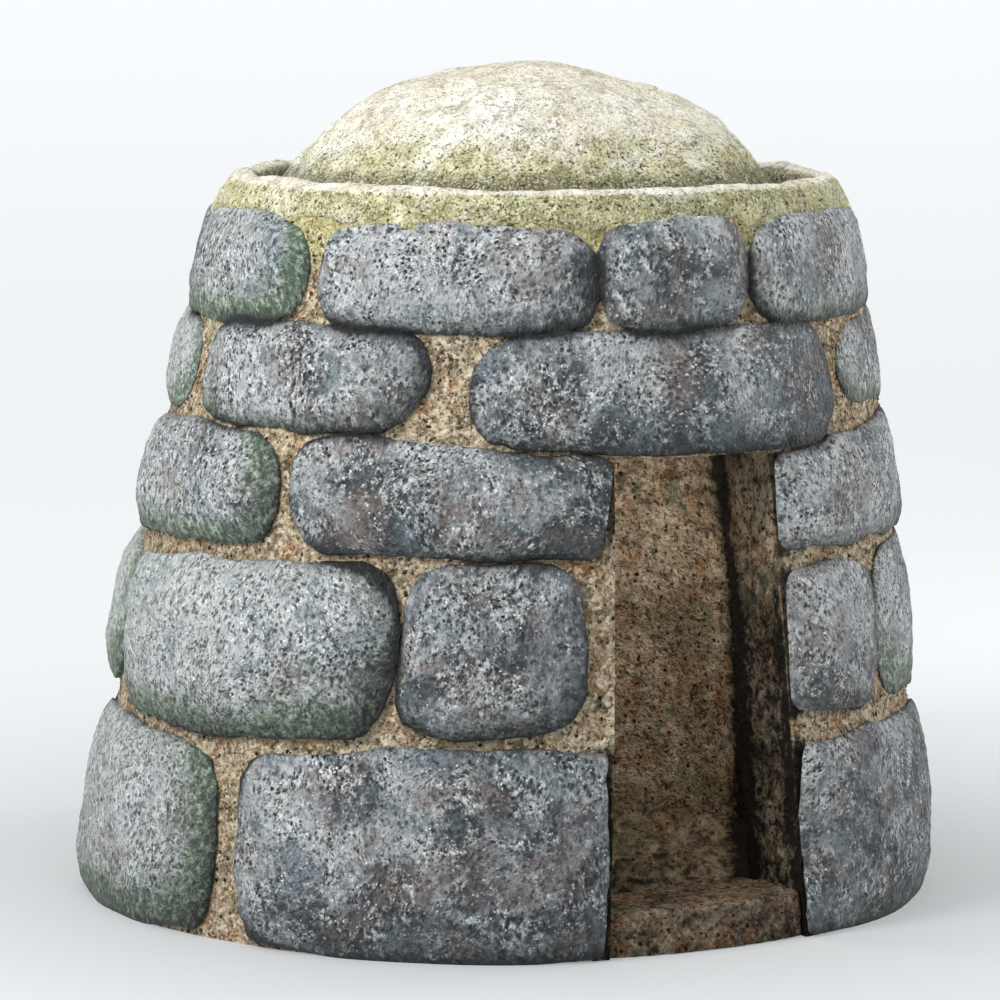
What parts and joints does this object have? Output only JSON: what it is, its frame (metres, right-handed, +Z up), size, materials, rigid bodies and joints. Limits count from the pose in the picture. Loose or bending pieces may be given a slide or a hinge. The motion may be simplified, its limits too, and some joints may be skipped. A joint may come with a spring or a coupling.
{
  "type": "stone hut",
  "caption": "Round dry-country hut of boulders set in mortar, with a low tapered doorway, a raised sill, an earth floor and a clay dome behind a rim.",
  "frame": {"origin": "on the ground, under the middle of the wall's foot", "axes": "-Y out through the doorway, +X to the right of someone facing the door from outside, +Z up"},
  "size_m": [3.0721, 2.9941, 2.885],
  "materials": {
    "boulder": "weathered, rough",
    "mortar": "coarse, gritty",
    "roof_clay": "rough clay and lime render",
    "earth": "beaten earth"
  },
  "bodies": {
    "root": {"base_stone_1": "boulder", "base_stone_2": "boulder", "base_stone_3": "boulder", "base_stone_4": "boulder", "base_stone_5": "boulder", "base_stone_6": "boulder", "door_head": "mortar", "earth_floor": "earth", "fourth_course_stone_1": "boulder", "fourth_course_stone_2": "boulder", "fourth_course_stone_4": "boulder", "fourth_course_stone_5": "boulder", "fourth_course_stone_6": "boulder", "fourth_course_stone_7": "boulder", "lintel_stone": "boulder", "roof_dome": "roof_clay", "roof_rim": "roof_clay", "second_course_stone_1": "boulder", "second_course_stone_2": "boulder", "second_course_stone_3": "boulder", "second_course_stone_4": "boulder", "second_course_stone_5": "boulder", "second_course_stone_6": "boulder", "second_course_stone_7": "boulder", "second_course_stone_8": "boulder", "third_course_stone_1": "boulder", "third_course_stone_2": "boulder", "third_course_stone_3": "boulder", "third_course_stone_4": "boulder", "third_course_stone_5": "boulder", "third_course_stone_6": "boulder", "threshold": "mortar", "top_course_stone_1": "boulder", "top_course_stone_2": "boulder", "top_course_stone_3": "boulder", "top_course_stone_4": "boulder", "top_course_stone_5": "boulder", "top_course_stone_6": "boulder", "top_course_stone_7": "boulder", "top_course_stone_8": "boulder", "wall_back": "mortar", "wall_back_left": "mortar", "wall_back_right": "mortar", "wall_left": "mortar", "wall_right": "mortar"}
  },
  "joints": []
}
